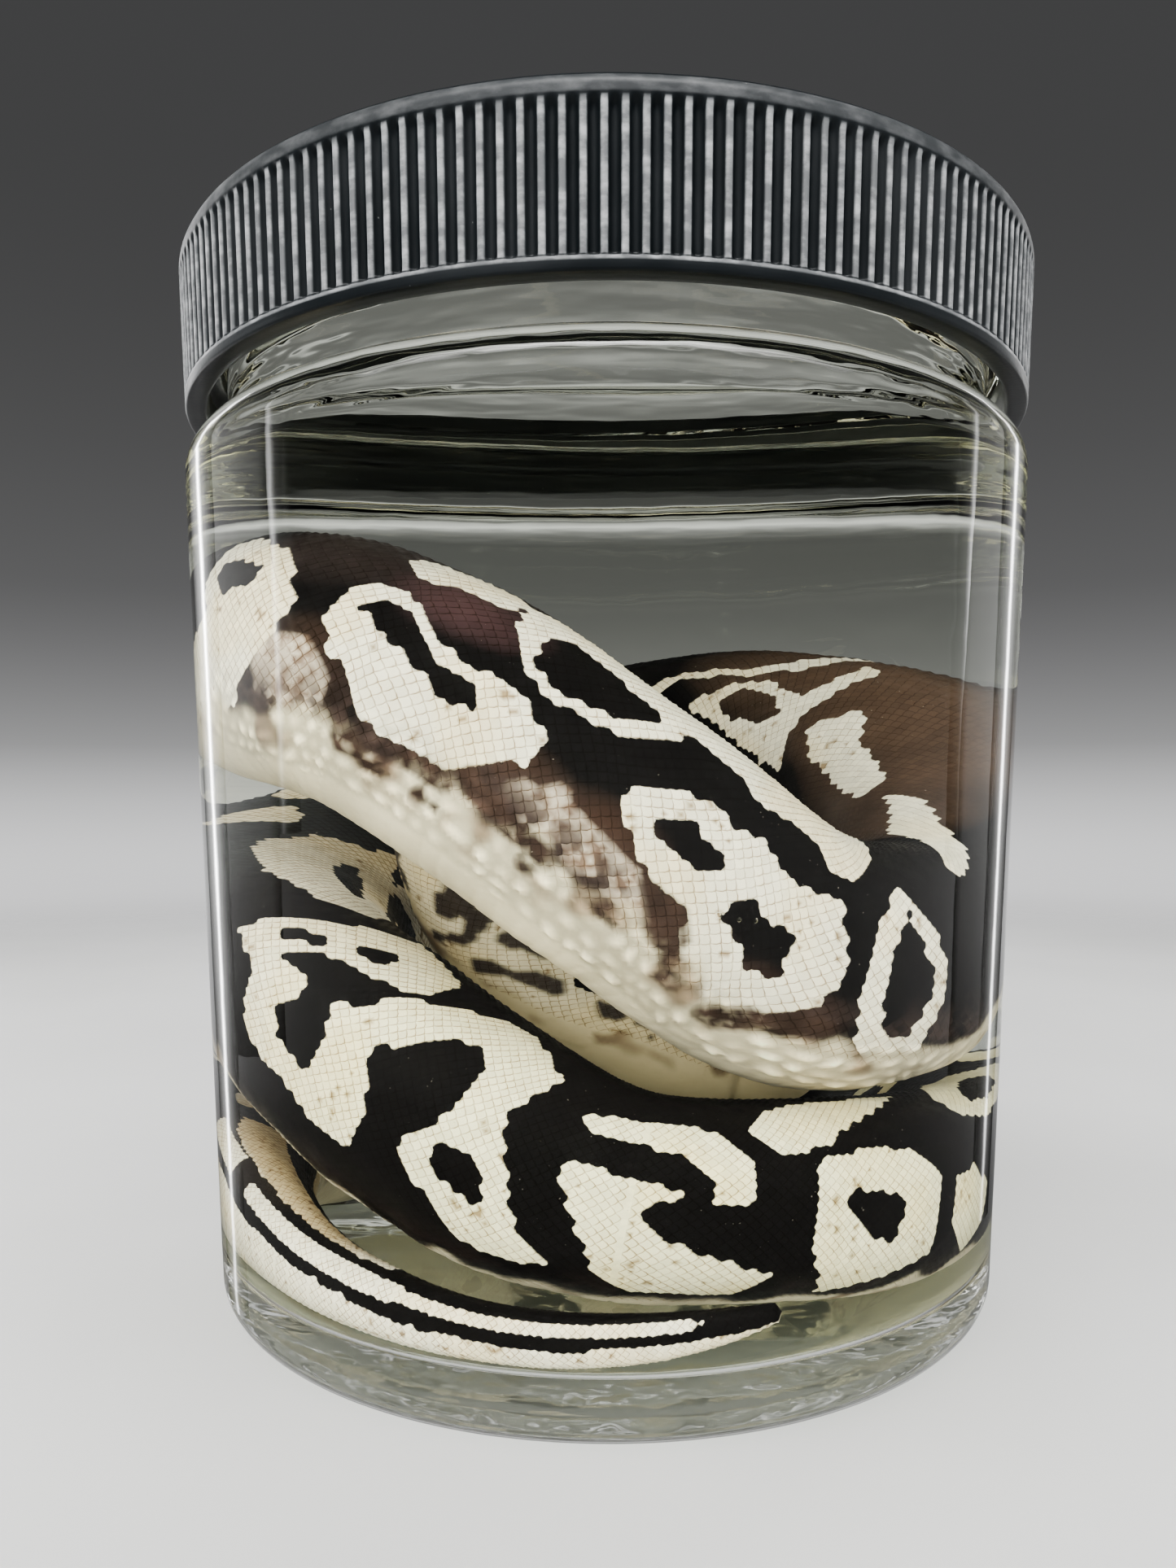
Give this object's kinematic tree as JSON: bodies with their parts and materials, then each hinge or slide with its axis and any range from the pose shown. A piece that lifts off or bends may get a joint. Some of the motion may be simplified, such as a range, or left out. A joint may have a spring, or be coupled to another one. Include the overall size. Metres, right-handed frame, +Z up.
{
  "type": "specimen jar",
  "caption": "Straight-sided clear glass specimen jar with a ribbed black screw cap, holding a small coiled snake in preserving fluid.",
  "frame": {"origin": "centre of the base, on the plane the jar stands on", "axes": "+Z up along the jar's axis through the cap; -Y is the front, +X to the right as seen from the front"},
  "size_m": [0.0734, 0.0734, 0.0887],
  "materials": {
    "clear_glass": "polished flint glass",
    "black_cap": "satin moulded polypropylene",
    "pulp_board": "pressed pulp board",
    "facing_film": "glossy film",
    "fluid": "clear liquid, faint yellow-green",
    "snake_skin": "wet scales, black-brown with cream blotches"
  },
  "bodies": {
    "jar": {"glass_jar": "clear_glass", "preserving_fluid": "fluid", "snake_specimen": "snake_skin"},
    "liner": {"liner_board": "pulp_board", "liner_facing": "facing_film"},
    "cap": {"screw_cap": "black_cap"}
  },
  "joints": [
    {"name": "cap_lift", "type": "slide", "parent": "jar", "child": "liner", "axis": [0, 0, 1], "range_m": [0, 0.0127]},
    {"name": "cap_turn", "type": "hinge", "parent": "liner", "child": "cap", "pos_m": [0, 0, 0.08], "axis": [0, 0, 1], "range_deg": [0, 1080]}
  ],
  "couplings": [
    {"joint": "cap_lift", "follows": "cap_turn", "m_per_rad": 0.0006737}
  ]
}
